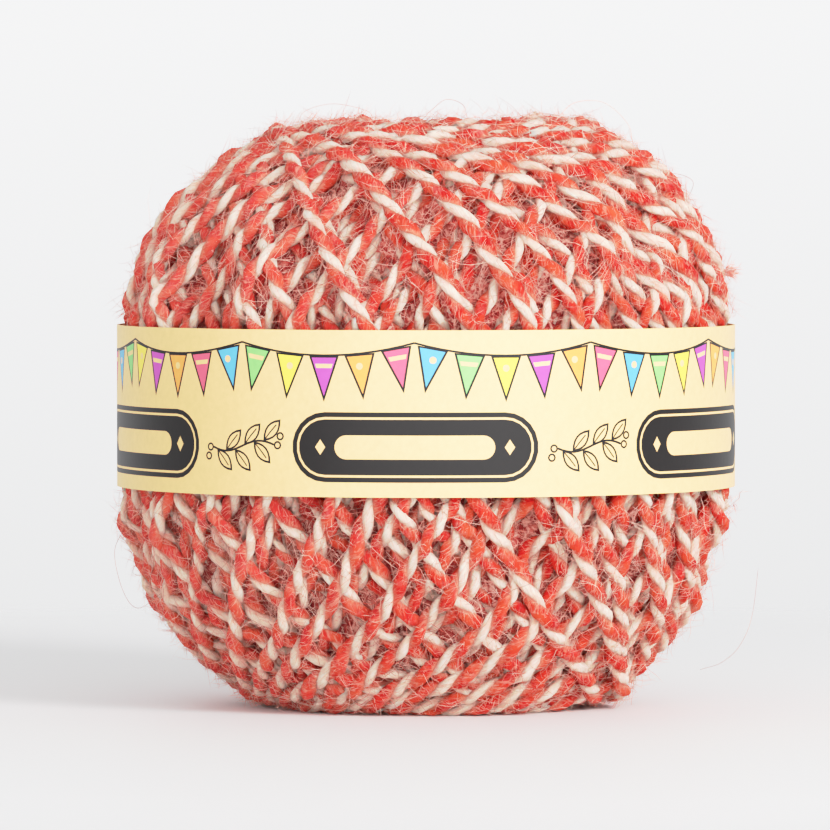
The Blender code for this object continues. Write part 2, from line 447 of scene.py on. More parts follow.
def twine_mesh(name, runs, section, materials):
    """A tube of two plies along each run."""
    side, angle = section
    count = len(side)
    # How near to the groove each point is: 1 in it, and less where a ply meets it
    near_groove = np.where(np.abs(angle) > 1.6, 0.75, 0.0)
    near_groove[side == 0] = 1.0
    near_groove = np.append(near_groove, near_groove[0])
    round_angle = 2 * math.pi * np.arange(count + 1) / count
    k = np.arange(count)
    which = np.where(side + side[(k + 1) % count] > 0, 0, 1)
    all_points, quads, caps, lays, edges, face_material = [], [], [], [], [], []
    first = 0
    for run in runs:
        rings = len(run.line)
        all_points.append(twine_rings(run, section).reshape(-1, 3))
        quads.append(tube_quads(first, rings, count))
        face_material.append(np.tile(which, rings - 1))
        v = (run.twist[:, None] + round_angle) * LAY_RADIUS
        u = np.repeat(run.along[:, None], count + 1, 1)
        lays.append(corner_values(np.stack([u, v], -1)))
        edges.append(corner_values(np.stack([np.tile(near_groove, (rings, 1)), u], -1)))
        caps.append(first + k[::-1])
        caps.append(first + (rings - 1) * count + k)
        first += rings * count
    caps = np.array(caps)
    lays.append(np.zeros((caps.size, 2)))
    edges.append(np.zeros((caps.size, 2)))
    face_material.append(np.zeros(len(caps), int))
    points = np.concatenate(all_points)
    points[:, 2] = np.maximum(points[:, 2], LOWEST)
    uv_maps = {"lay": np.concatenate(lays), "edge": np.concatenate(edges)}
    return make_mesh(
        name, points, [np.concatenate(quads), caps], materials, np.concatenate(face_material),
        uv_maps)


SHORTEST_RUN = 8  # samples
HIDDEN_STEP = 3.0  # from one ring to the next where the band hides the twine
HIDDEN_INSET = 3.3  # how far in under the band's edges nothing shows any more


def runs_of(made, rings_per_pitch):
    """Cuts a round's path into runs and resamples them. Under the band, where nothing shows, the
    steps are long and the twist rests."""
    directions = paths[made.name]
    reach = pressed(directions, reaches[made.name], HALF_TWINE)
    points = place(directions, reach)
    keep = shown[made.name] & above_tangle(directions, reach + HALF_TWINE)
    gap = np.linalg.norm(np.diff(points, axis=0), axis=1)
    along = summed(gap)
    hidden = off_band(points[:, 2]) < -HIDDEN_INSET
    pitch = TWIST_PITCH * np.clip(1 + 0.15 * wander(len(along), 34), 0.72, 1.4)
    rate = np.where(hidden, 0, 2 * math.pi / pitch)
    twist = -summed(rate[:-1] * gap)
    density = np.where(hidden, 1 / HIDDEN_STEP, rings_per_pitch / pitch)
    index = summed(density[:-1] * gap)
    above = points[:, 2] > BAND_MIDDLE
    ends = np.flatnonzero((keep[1:] != keep[:-1]) | (above[1:] != above[:-1])) + 1
    bounds = np.concatenate([[0], ends, [len(along)]])
    result = []
    for start, end in zip(bounds[:-1], bounds[1:]):
        if not keep[start] or end - start < SHORTEST_RUN:
            continue
        part = slice(start, end)
        first, last = index[start], index[end - 1]
        at = np.linspace(first, last, max(4, int(last - first) + 1))

        def sampled(values):
            if values.ndim == 1:
                return np.interp(at, index[part], values[part])
            return np.stack([np.interp(at, index[part], values[part, c]) for c in range(3)], 1)

        fullness = (sampled(pitch) / TWIST_PITCH) ** 0.6
        result.append(Run(
            sampled(points), sampled(directions), sampled(twist), sampled(along), fullness))
    return result


def run_length(made):
    """Length of all the turns of a round."""
    points = place(paths[made.name], reaches[made.name])
    return np.linalg.norm(np.diff(points, axis=0), axis=1).sum()


def split_runs(runs, pieces):
    """Shares runs out among pieces of like size."""
    rings = np.cumsum([len(run.line) for run in runs])
    which = (rings - 1) * pieces // rings[-1]
    return [[run for run, w in zip(runs, which) if w == k] for k in range(pieces)]


# ------------ materials
class Nodes:
    """A node tree with short ways to add to it."""

    def __init__(self, tree):
        self.tree = tree

    def fill(self, node, inputs):
        """Puts a value or a link on some of a node's inputs, by name or number."""
        for key, value in inputs.items():
            if isinstance(value, bpy.types.NodeSocket):
                self.tree.links.new(value, node.inputs[key])
            else:
                node.inputs[key].default_value = value

    def add(self, kind, inputs=(), **settings):
        node = self.tree.nodes.new(kind)
        for key, value in settings.items():
            setattr(node, key, value)
        self.fill(node, dict(inputs))
        return node

    def math(self, operation, *values):
        node = self.add("ShaderNodeMath", enumerate(values), operation=operation)
        return node.outputs["Value"]

    def stretched(self, vector, scale):
        node = self.add("ShaderNodeMapping", {"Vector": vector, "Scale": scale})
        return node.outputs["Vector"]

    def noise(self, vector, scale, **inputs):
        node = self.add("ShaderNodeTexNoise", {"Vector": vector, "Scale": scale, **inputs})
        return node.outputs["Fac"]

    def between(self, value, start, end, most=1.0, least=0.0, **settings):
        """Runs from least, where the value is at start, to most, where it is at end."""
        node = self.add("ShaderNodeMapRange", {
            "Value": value, "From Min": start, "From Max": end, "To Min": least, "To Max": most},
            **settings)
        return node.outputs["Result"]

    def ramp(self, factor, stops):
        node = self.add("ShaderNodeValToRGB", {"Fac": factor})
        ramp = node.color_ramp
        while len(ramp.elements) < len(stops):
            ramp.elements.new(0.5)
        for element, (position, colour) in zip(ramp.elements, stops):
            element.position = position
            element.color = (*colour, 1)
        return node.outputs["Color"]

    def covered(self, first, colour, share):
        """Lays a colour over what a socket gives, by a share."""
        node = self.add("ShaderNodeMix", {0: share, 6: first, 7: (*colour, 1)}, data_type="RGBA")
        return node.outputs[2]

    def curling_lines(self, vector, scale, half_width):
        """Thin broken lines, like single fibres that lie across the twine."""
        level = self.noise(vector, scale, Detail=1.5, Distortion=0.8)
        off = self.math("ABSOLUTE", self.math("SUBTRACT", level, 0.5))
        line = self.between(off, half_width, 0.3 * half_width)
        kept = self.between(self.noise(vector, 2.2 * scale, Detail=0.0), 0.46, 0.54)
        return self.math("MULTIPLY", line, kept)


class Finish(Nodes):
    """A material. Its shader's inputs are set by name."""

    def __init__(self, name, colour, inputs):
        self.material = bpy.data.materials.new(name)
        self.material.use_nodes = True
        self.material.diffuse_color = (*colour, 1)
        super().__init__(self.material.node_tree)
        self.shader = self.tree.nodes["Principled BSDF"]
        self.set({"Base Color": (*colour, 1), **inputs})

    def set(self, inputs):
        self.fill(self.shader, inputs)

    def place_of(self):
        """Where a point of the surface is, in the object's own frame."""
        return self.add("ShaderNodeTexCoord").outputs["Object"]

    def bump(self, height, strength, distance):
        node = self.add("ShaderNodeBump", {
            "Height": height, "Strength": strength, "Distance": distance})
        self.set({"Normal": node.outputs["Normal"]})


def shade(colour, factor):
    return tuple(c * factor for c in colour)


# The fluff colour in each dye also paints the paler haze of light on the ball's -X side
Dye = namedtuple("Dye", "deep middle light faded dust frayed fibre fibre_cover sheen")
RED = Dye(
    deep=(0.42, 0.004, 0.009), middle=(0.73, 0.013, 0.011), light=(0.87, 0.050, 0.025),
    faded=(0.87, 0.11, 0.045), dust=(0.86, 0.31, 0.29), frayed=(0.93, 0.36, 0.24),
    fibre=(0.94, 0.38, 0.28), fibre_cover=0.5, sheen=(1.0, 0.16, 0.10))
CREAM = Dye(
    deep=(0.94, 0.52, 0.39), middle=(1.0, 0.73, 0.59), light=(1.0, 0.865, 0.745),
    faded=(0.98, 0.64, 0.50), dust=(0.96, 0.60, 0.49), frayed=(0.89, 0.30, 0.22),
    fibre=(0.80, 0.46, 0.38), fibre_cover=0.4, sheen=(1.0, 0.72, 0.60))
DARKENED = ("deep", "middle", "light", "faded", "dust", "frayed")


def toned(dye, tone):
    """A dye at a share of its full tone: a darker copy that paints shade on turns that lie deeper.
    """
    return dye._replace(**{part: shade(getattr(dye, part), tone) for part in DARKENED})


def ply_material(name, dye):
    """Hairy jute: fibres run along the twine, with slow changes of dye, fluff and frayed edges, and
    a paler haze of painted light on the -X side.
    """
    m = Finish(name, dye.middle, {
        "Roughness": 0.9,
        "Specular IOR Level": 0.1,
        "Sheen Weight": 0.22,
        "Sheen Roughness": 0.5,
        "Sheen Tint": (*dye.sheen, 1),
        "Subsurface Weight": 0.6,
        "Subsurface Radius": (1.0, 0.55, 0.45),
        "Subsurface Scale": 0.002,
    })
    lay = m.add("ShaderNodeUVMap", uv_map="lay").outputs["UV"]
    place_here = m.place_of()
    streak = m.noise(
        m.stretched(lay, (0.26, 3.4, 1)), 1.0, Detail=5.0, Roughness=0.75, Distortion=0.4)
    slow = m.noise(m.stretched(lay, (0.16, 0.35, 1)), 1.0, Detail=2.0)
    fluff = m.noise(place_here, 480.0, Detail=4.0, Roughness=0.75)
    colour = m.ramp(streak, [(0.36, dye.deep), (0.49, dye.middle), (0.64, dye.light)])
    colour = m.covered(colour, dye.faded, m.between(slow, 0.46, 0.66, most=0.75))
    colour = m.covered(colour, dye.deep, m.between(slow, 0.45, 0.34, most=0.7))
    # Fluff lies in patches, over a paler haze that thickens towards -X. The haze is painted light:
    # it
    # # stands in for how the light falls on that side of the ball
    across = m.add("ShaderNodeSeparateXYZ", {"Vector": place_here}).outputs["X"]
    patches = m.between(fluff, 0.51, 0.70, most=0.32)
    painted_side_haze = m.between(across, 0.005, -0.045, most=0.13)
    colour = m.covered(colour, dye.dust, m.math("ADD", patches, painted_side_haze))
    # The border of a ply frays into the other one over the groove
    edge = m.add("ShaderNodeUVMap", uv_map="edge").outputs["UV"]
    nearness = m.add("ShaderNodeSeparateXYZ", {"Vector": edge}).outputs["X"]
    ragged = m.noise(m.stretched(lay, (1.1, 3.4, 1)), 1.0, Detail=3.0, Roughness=0.8)
    fray = m.math("MULTIPLY_ADD", ragged, 2.4, nearness)
    colour = m.covered(colour, dye.frayed, m.between(fray, 1.55, 2.2, most=0.8))
    flowing = m.stretched(lay, (0.24, 1.1, 1))
    for scale, half_width in ((1.0, 0.030), (1.7, 0.036)):
        line = m.curling_lines(flowing, scale, half_width)
        colour = m.covered(colour, dye.fibre, m.math("MULTIPLY", line, dye.fibre_cover))
    m.set({"Base Color": colour})
    m.bump(m.math("ADD", streak, fluff), 1.0, 0.0008)
    return m.material


def ply_pair(name, red, cream):
    return [ply_material(name + "red_ply", red), ply_material(name + "cream_ply", cream)]


# The plies of the top turns, and darker copies as painted shade: the older lap of the outer round
# lies lower, and its red is a touch darker; the under round lies deep between the top turns, so it
# is darker all over, and its cream takes the red ply's redder fluff, which is partly real fluff and
# partly painted warm shade
upper_plies = ply_pair("", RED, CREAM)
older_lap_plies_shaded_red = ply_pair("lower_", toned(RED, 0.99), CREAM)
shaded_under_plies = ply_pair("deep_", toned(RED, 0.86), toned(CREAM._replace(dust=RED.dust), 0.92))


def tangle_material(name, colour, other, line_colour):
    """What shows down between the turns: felted fibres under light fibre lines. It is painted
    darker than the twine, and darkest in patches, as the shade deep between the turns.
    """
    m = Finish(name, colour, {"Roughness": 0.95, "Specular IOR Level": 0.1})
    place_here = m.place_of()
    patches = m.noise(place_here, 600.0, Detail=4.0, Roughness=0.75)
    colour = m.ramp(patches, [(0.35, shade(colour, 0.5)), (0.47, colour), (0.61, other)])
    for scale, half_width in ((240.0, 0.03), (380.0, 0.04), (560.0, 0.05)):
        line = m.curling_lines(place_here, scale, half_width)
        colour = m.covered(colour, line_colour, m.math("MULTIPLY", line, 0.7))
    m.set({"Base Color": colour})
    m.bump(patches, 1.0, 0.0008)
    return m.material


# The dark red base and its darkest patches are painted shade deep between the turns
painted_shade_felt = tangle_material(
    "felted_fibres", (0.42, 0.040, 0.040), (0.66, 0.19, 0.15), (0.94, 0.52, 0.42))


def fibre_material(name, colour, other):
    """One colour of loose fibre, which changes to another in patches."""
    m = Finish(name, colour, {"Roughness": 0.6, "Specular IOR Level": 0.25})
    patches = m.noise(m.place_of(), 160.0)
    m.set({"Base Color": m.ramp(patches, [(0.4, colour), (0.6, other)])})
    return m.material


fibre_finishes = [
    fibre_material("pale_fibre", (0.96, 0.66, 0.55), (0.92, 0.45, 0.36)),
    fibre_material("red_fibre", (0.80, 0.10, 0.07), (0.90, 0.34, 0.26)),
    fibre_material("brown_fibre", (0.42, 0.10, 0.075), (0.64, 0.30, 0.23)),
]


# ------------ the turns of twine
def wound_pieces(name, runs, pieces, section, materials):
    """Makes the runs into pieces of like size, with numbered names."""
    for number, share in enumerate(split_runs(runs, pieces)):
        piece = twine_mesh(f"{name}_{number + 1}", share, section, materials)
        add_piece(piece, "twine_ball")


heart, core, under, outer = ROUNDS
outer_runs = runs_of(outer, 7.8)
older = sum(run.along[0] < run_length(outer) / 2 for run in outer_runs)
fine, coarse = ply_section(4, 4), ply_section(4, 3)
wound_pieces("twine_outer", outer_runs[older:], 2, fine, upper_plies)
wound_pieces("twine_lower", outer_runs[:older], 2, fine, older_lap_plies_shaded_red)
wound_pieces("twine_under", runs_of(under, 6), 1, coarse, shaded_under_plies)
wound_pieces("twine_mouths", runs_of(heart, 6) + runs_of(core, 6), 1, coarse, upper_plies)


def tangle_mesh():
    """The felted mass of fibres that fills in between the turns."""
    d = tangle_directions
    points = place(d, tangle_reach.ravel() + rng.normal(scale=0.22, size=len(d)))
    points[:, 2] = np.maximum(points[:, 2], TANGLE_LOWEST)
    ends = np.array([points[:TANGLE_COLUMNS].mean(0), points[-TANGLE_COLUMNS:].mean(0)])
    points = np.concatenate([points, ends])
    quads = tube_quads(0, TANGLE_ROWS, TANGLE_COLUMNS)
    c = np.arange(TANGLE_COLUMNS)
    after = (c + 1) % TANGLE_COLUMNS
    last = (TANGLE_ROWS - 1) * TANGLE_COLUMNS
    south = np.stack([after, c, np.full(len(c), len(points) - 2)], 1)
    north = np.stack([last + c, last + after, np.full(len(c), len(points) - 1)], 1)
    return make_mesh(
        "twine_tangle", points, [quads, np.concatenate([south, north])], [painted_shade_felt])


add_piece(tangle_mesh(), "twine_ball")


# ------------ loose fibres
FIBRE_REACH = 52.0  # typical distance of a loose fibre from the ball's middle
TRACK_REACH = 50.0
FIBRE_GAP = 0.3  # the least from a loose fibre to the level of the paper's edge
START_GAP = 0.4


def fibre_mesh(name, lines, radius, choice):
    """lines is fibres by points by 3. Each is a tube of three sides that tapers to a point."""
    count, rings = lines.shape[:2]
    ahead = unit(np.gradient(lines, axis=1))
    side = unit(np.cross(ahead, rng.normal(size=(count, 1, 3))))
    other = np.cross(ahead, side)
    corners = []
    for k in range(3):
        a = 2 * math.pi * k / 3
        turned = math.cos(a) * side + math.sin(a) * other
        corners.append(lines + turned * radius[:, None, None])
    tubes = np.stack(corners, 2)[:, :-1].reshape(count, -1, 3)
    points = np.concatenate([tubes, lines[:, -1:]], 1)
    each = points.shape[1]
    points = points.reshape(-1, 3)
    points[:, 2] = np.maximum(points[:, 2], LOWEST)
    starts = np.arange(count) * each
    quads = tube_quads(starts, rings - 1, 3)
    foot = (2, 1, 0)
    tips = [(each - 4 + k, each - 4 + (k + 1) % 3, each - 1) for k in range(3)]
    ends = np.concatenate([starts[:, None] + corners for corners in (foot, *tips)])
    material = np.concatenate([np.repeat(choice, (rings - 2) * 3), np.tile(choice, 4)])
    return make_mesh(name, points, [quads, ends], fibre_finishes, material)


def grown(starts, reach, rise, curl, length):
    """Fibres that set off over the ball from unit directions, and swerve as they go. rise is
    their height over the reach they started at, fibre by ring."""
    d = starts
    rings = rise.shape[1]
    heading = square_to(d, rng.normal(size=d.shape))
    swerve = rng.normal(size=len(d)) * curl
    step = (length / (rings - 1) / FIBRE_REACH)[:, None]
    track = [d]
    for _ in range(rings - 1):
        swerve = 0.75 * swerve + 0.66 * curl * rng.normal(size=len(d))
        turned = np.cross(d, heading)
        heading = heading * np.cos(swerve)[:, None] + turned * np.sin(swerve)[:, None]
        d = unit(d + heading * step)
        heading = square_to(d, heading)
        track.append(d)
    track = np.stack(track, 1)
    return place(track, reach[:, None] + rise)


def clear_of_band(lines):
    """True for each fibre that keeps off the paper."""
    return (off_band(lines[..., 2]) >= FIBRE_GAP).all(1)


def scattered(count):
    """Random directions that don't point at the band."""
    d = unit(rng.normal(size=(count * 2, 3)))
    height = CENTRE_Z + d[:, 2] * TURN_REACH
    return d[off_band(height) > START_GAP][:count]


def short_fibres(count):
    """Fuzz that stands out of the plies."""
    d = scattered(count)
    n = len(d)
    length = rng.gamma(3.0, 0.55, n) + 0.6
    lift = length * rng.beta(1.9, 1.8, n)
    along = np.linspace(0, 1, 3)
    rise = -0.2 + lift[:, None] * along ** rng.uniform(0.6, 1.5, n)[:, None]
    lines = grown(d, over_turns(d), rise, 0.45, length)
    return lines[clear_of_band(lines)]


def lying_fibres(count, rings, mean_length, curl, depth):
    """Fibres that lie over the turns, a little under or above their tops, and bridge the gaps."""
    d = scattered(count)
    n = len(d)
    length = rng.gamma(4.0, mean_length / 4.0, n) + 1.5
    # A first track below the tops of the turns gives the directions
    track = grown(d, np.full(n, TRACK_REACH), np.zeros((n, rings)), curl, length)
    track = unit(track - (0, 0, CENTRE_Z))
    under = over_turns(track)
    for _ in range(2):
        soften(under.T)
    along = np.linspace(0, 1, rings)
    heights = rng.normal(-depth, 0.3 + 0.2 * depth, (n, 4))
    wave = np.stack([np.interp(along, [0, 0.3, 0.65, 1], h) for h in heights])
    wave[:, 0] -= 0.6
    wave[:, -1] += rng.exponential(0.5, n)
    lines = place(track, under + wave)
    return lines[clear_of_band(lines)]


def fibres(name, lines, radius, red, brown):
    """Adds a piece of loose fibres. red and brown are those colours' shares; the rest is pale."""
    choice = rng.choice(3, len(lines), p=[1 - red - brown, red, brown])
    thick = radius * rng.uniform(0.75, 1.25, len(lines))
    add_piece(fibre_mesh(name, lines, thick, choice), "twine_ball")


fibres("short_fibres", short_fibres(18500), 0.031, red=0.35, brown=0.10)
fibres(
    "lying_fibres_1", lying_fibres(6500, rings=5, mean_length=4.2, curl=0.6, depth=2.0),
    0.034, red=0.15, brown=0.35)
fibres(
    "lying_fibres_2", lying_fibres(4700, rings=6, mean_length=5.8, curl=0.5, depth=0.3),
    0.031, red=0.20, brown=0.20)
fibres(
    "long_fibres", lying_fibres(400, rings=14, mean_length=15.0, curl=0.36, depth=-0.1),
    0.036, red=0.15, brown=0.10)


def bent(points, rings):
    """A smooth line through a few points."""
    points = np.array(points, float)
    at = np.linspace(0, len(points) - 1, rings)
    ends = np.concatenate([[2 * points[0] - points[1]], points, [2 * points[-1] - points[-2]]])
    i = np.minimum(at.astype(int), len(points) - 2)
    return through(*(ends[i + n] for n in range(4)), (at - i)[:, None])


# Single fibres that stand well out: five points of each, from root to tip
STRAYS = (
    ((-1, -24, 100.2), (1, -22, 102.3), (3.4, -21, 104.0), (6.2, -20, 103.1), (7.0, -19, 100.6)),
    ((47, -8, 6.5), (50.5, -12, 8.0), (53.5, -14, 11.0), (55.5, -15, 16.0), (56.6, -15, 24.5)),
    ((-20, -26, 98.5), (-21, -27, 101.5), (-16, -27, 103.2), (-10, -25, 102.0), (-9, -24, 100.0)),
    ((22, -20, 100.5), (25, -20, 103.4), (30, -21, 103.5), (34, -22, 100.0), (35, -22, 96.5)),
    ((-45, -12, 20.0), (-49, -16, 17.5), (-51.5, -18, 20.5), (-53, -17, 27.0), (-51.5, -12, 31.0)),
    ((12, 30, 98.0), (15, 33, 101.2), (22, 34, 102.0), (28, 31, 99.0), (29, 29, 96.5)),
    ((40, 30, 84.0), (45, 32, 86.0), (47, 28, 90.0), (43, 24, 91.5), (40, 24, 89.5)),
)
strays = np.stack([bent(points, 28) for points in STRAYS])
fibres("stray_fibres", strays, 0.045, red=0.1, brown=0.7)


def tuft(middle, outward, count=30, spread=0.6, length=1.8):
    """A little knot of fibres that stands out of a turn."""
    outward = np.array(outward) / np.linalg.norm(outward)
    aim = unit(outward + rng.normal(scale=spread, size=(count, 3)))
    bend = rng.normal(scale=0.5, size=(count, 3))
    t = np.linspace(0, 1, 7)[None, :, None]
    size = rng.uniform(0.5, 1.0, (count, 1, 1)) * length
    start = np.array(middle) + rng.normal(scale=0.45, size=(count, 1, 3))
    return start + size * (t * aim[:, None] + 0.6 * t * t * bend[:, None])


tufts = np.concatenate([
    tuft((51.5, -5.0, 74.6), (1, -0.2, 0.1), count=60, spread=0.45, length=2.4),
    tuft((-44.5, -23.0, 30.0), (-1, -0.5, -0.1)),
    tuft((20.0, -33.5, 93.0), (0.3, -0.5, 0.8)),
    tuft((-8.0, 45.0, 84.5), (-0.1, 0.8, 0.6)),
])
fibres("knotted_fibres", tufts, 0.045, red=0.9, brown=0.0)

# ------------ the paper band
PAPER_THICKNESS = 0.35
PAPER_LENGTH = 2 * math.pi * BAND_RADIUS
LAP_END = 4.0  # where the strip's outer end shows, at the back
LAP_LENGTH = 14.0
REPEAT = 61.4  # from the middle of one plaque to the next
FRONT = PAPER_LENGTH / 2 - 2.0  # where the middle plaque is along the strip
GARLAND_HEIGHT = 25.6
SWAG_DEPTH = 2.1
PLAQUE_HEIGHT = 8.3
paper_shades = {
    "paper": (0.84, 0.54, 0.24),
    "charcoal": (0.014, 0.012, 0.012),
    "rose": (0.78, 0.12, 0.20),
    "sky": (0.12, 0.42, 0.72),
    "leaf": (0.24, 0.58, 0.18),
    "sun": (0.92, 0.74, 0.10),
    "plum": (0.50, 0.09, 0.42),
    "amber": (0.90, 0.36, 0.09),
}
PAPER, CHARCOAL = 0, 1  # the first two shades; those after them are bright
BRIGHTS = range(2, len(paper_shades))


def paper_material(name, colour):
    """Smooth printed paper with a faint mottle and a soft sheen."""
    full_name = name if name == "paper" else "print_" + name
    m = Finish(full_name, colour, {"Roughness": 0.42, "Specular IOR Level": 0.22})
    mottle = m.noise(m.place_of(), 900.0, Detail=3.0, Roughness=0.6)
    paler = tuple(min(1, c * 1.03) for c in colour)
    m.set({"Base Color": m.ramp(mottle, [(0.3, shade(colour, 0.95)), (0.7, paler)])})
    m.bump(mottle, 0.25, 0.00006)
    return m.material


# The print's outlines are in millimetres on the flat strip: x along it, and y up from its foot
def moved(points, x, y, angle=0.0):
    """An outline turned by an angle and then shifted."""
    c, s = math.cos(angle), math.sin(angle)
    return [(x + c * px - s * py, y + s * px + c * py) for px, py in points]


def stamped(motif, x, y, angle=0.0):
    """A motif, which is (shade, outline) pairs, turned by an angle and then shifted."""
    return [(which, moved(outline, x, y, angle)) for which, outline in motif]


def anticlockwise(outline):
    area = sum(ax * by - bx * ay for (ax, ay), (bx, by) in zip(outline, outline[1:] + outline[:1]))
    return outline if area > 0 else outline[::-1]


def stadium(width, height, steps=12):
    """A bar with round ends."""
    r = height / 2
    right = [(width / 2 - r + r * math.cos(a), r * math.sin(a))
             for a in np.linspace(-math.pi / 2, math.pi / 2, steps)]
    return right + [(-px, -py) for px, py in right]


def ring(radius, steps=10):
    return [(radius * math.cos(a), radius * math.sin(a))
            for a in np.linspace(0, 2 * math.pi, steps, endpoint=False)]


def leaf(start, length, width, steps=7):
    """A slender leaf along x, pointed at both ends."""
    xs = np.linspace(0, 1, steps)
    half = width / 2 * np.sin(math.pi * xs) ** 0.85
    upper = [(start + length * t, h) for t, h in zip(xs, half)]
    lower = [(px, -py) for px, py in upper[-2:0:-1]]
    return upper + lower


def stroke(points, width):
    """The outline of a line drawn through some points."""
    points = np.array(points, float)
    ahead = unit(np.gradient(points, axis=0))
    across = np.stack([-ahead[:, 1], ahead[:, 0]], 1) * width / 2
    return [tuple(q) for q in points + across] + [tuple(q) for q in (points - across)[::-1]]


def garland(start, end, swag):
    """A string of small flags along the top, in swags, as (shade, outline) pairs."""
    border = [(-2.6, 0), (0, -7.6), (2.6, 0)]
    cloth = [(-2.15, -0.28), (0, -6.6), (2.15, -0.28)]
    bar = [(-1.55, -1.3), (1.55, -1.3), (1.32, -2.0), (-1.32, -2.0)]

    def sag(share):
        return SWAG_DEPTH * (1 - (2 * share - 1) ** 2)

    shapes = []
    flag = 0
    for k in range(round((end - start) / swag)):
        x0 = start + k * swag
        string = [(x0 + swag * f, GARLAND_HEIGHT - sag(f)) for f in np.linspace(0, 1, 15)]
        shapes.append((CHARCOAL, stroke(string, 0.32)))
        for f in (np.arange(5) + 0.5) / 5:
            x, y = x0 + swag * f, GARLAND_HEIGHT - 0.1 - sag(f)
            lean = 0.22 * (2 * f - 1)
            bright = BRIGHTS[flag % len(BRIGHTS)]
            shapes += stamped([(CHARCOAL, border), (bright, cloth)], x, y, lean)
            if flag % 2:
                shapes += stamped([(PAPER, ring(0.6))], x, y - 2.0)
            else:
                shapes += stamped([(PAPER, bar)], x, y, lean)
            flag += 1
    return shapes


def plaque(x, y):
    """A blank dark plaque with a pale line round it and a pale bar across it."""
    diamond = [(-0.9, 0), (0, -1.3), (0.9, 0), (0, 1.3)]
    bars = ((CHARCOAL, 42, 11.6), (PAPER, 40.4, 10.0), (CHARCOAL, 39.6, 9.2), (PAPER, 27, 4.0))
    shapes = stamped([(which, stadium(width, height)) for which, width, height in bars], x, y)
    for dx in (-16, 16):
        shapes += stamped([(PAPER, diamond)], x + dx, y)
    return shapes


def sprig(x, y):
    """A line drawing of a twig with slender leaves and buds."""
    def bend(t):
        return 0.9 * math.sin(t / 2.2)

    shapes = []
    stem = [(x + t, y + bend(t)) for t in np.linspace(-6.2, 6.2, 17)]
    vein = stroke([(0.3, 0), (2, 0.05), (3.7, 0)], 0.2)
    veined = ((CHARCOAL, leaf(0.0, 4.9, 2.3)), (PAPER, leaf(0.55, 3.8, 1.7)), (CHARCOAL, vein))
    for k, t in enumerate(np.linspace(-5.4, 4.2, 6)):
        angle = math.radians(48) if k % 2 else -math.radians(48)
        shapes += stamped(veined, x + t, y + bend(t), angle)
    shapes.append((CHARCOAL, stroke(stem, 0.34)))
    bud = ((CHARCOAL, ring(0.72)), (PAPER, ring(0.42)))
    for dx, dy in ((6.9, 0.2), (-6.9, -0.3), (7.4, 1.7), (-7.3, -1.8)):
        shapes += stamped(bud, x + dx, y + dy)
    return shapes


def band_shapes():
    """All that is printed on the strip: each shape covers those before it."""
    shapes = garland(FRONT - 5 * REPEAT / 2, FRONT + 5 * REPEAT / 2, REPEAT / 2)
    for k in range(-2, 3):
        shapes += plaque(FRONT + k * REPEAT, PLAQUE_HEIGHT)
    for k in range(-3, 3):
        shapes += sprig(FRONT + (k + 0.5) * REPEAT, PLAQUE_HEIGHT)
    return shapes


def paper_radius(x):
    """Radius of the paper's outer face along the strip. It waves faintly, and laps at the back."""
    to_end = (LAP_END - x) % PAPER_LENGTH
    lap = np.interp(to_end, [0, LAP_LENGTH, LAP_LENGTH + 22], [1, 1, 0]) * PAPER_THICKNESS * 0.7
    return BAND_RADIUS - 0.12 + lap + 0.05 * np.sin(x * 0.11) + 0.03 * np.sin(x * 0.29 + 1)


def flat_print():
    """The strip laid flat and cut along the print: points, triangles and the shade of each."""
    columns = np.linspace(0, PAPER_LENGTH, 121)
    columns = np.sort(np.concatenate([columns, [LAP_END, LAP_END + 0.05]]))
    verts, edges, faces, shade_of = [], [], [], []
    for x in columns:
        verts += [(x, 0.0), (x, BAND_HEIGHT)]
        edges.append((len(verts) - 2, len(verts) - 1))
    count = len(columns)
    faces.append([2 * k for k in range(count)] + [2 * k + 1 for k in range(count)][::-1])
    shade_of.append(PAPER)
    for which, outline in band_shapes():
        outline = anticlockwise(outline)
        faces.append(list(range(len(verts), len(verts) + len(outline))))
        verts += outline
        shade_of.append(which)
    flat, _, triangles, _, _, owners = delaunay_2d_cdt(
        [Vector(v) for v in verts], edges, faces, 1, 1e-5)
    shades = [shade_of[max(owner)] if owner else PAPER for owner in owners]
    return np.array(flat), np.array(triangles), np.array(shades)


def along_edge(flat, same, height):
    """The points of the strip at a height, in order along it, without the second end's."""
    at_edge = [i for i in np.flatnonzero(np.isclose(flat[:, 1], height)) if same[i] == i]
    return np.array(sorted(at_edge, key=lambda i: flat[i, 0]))


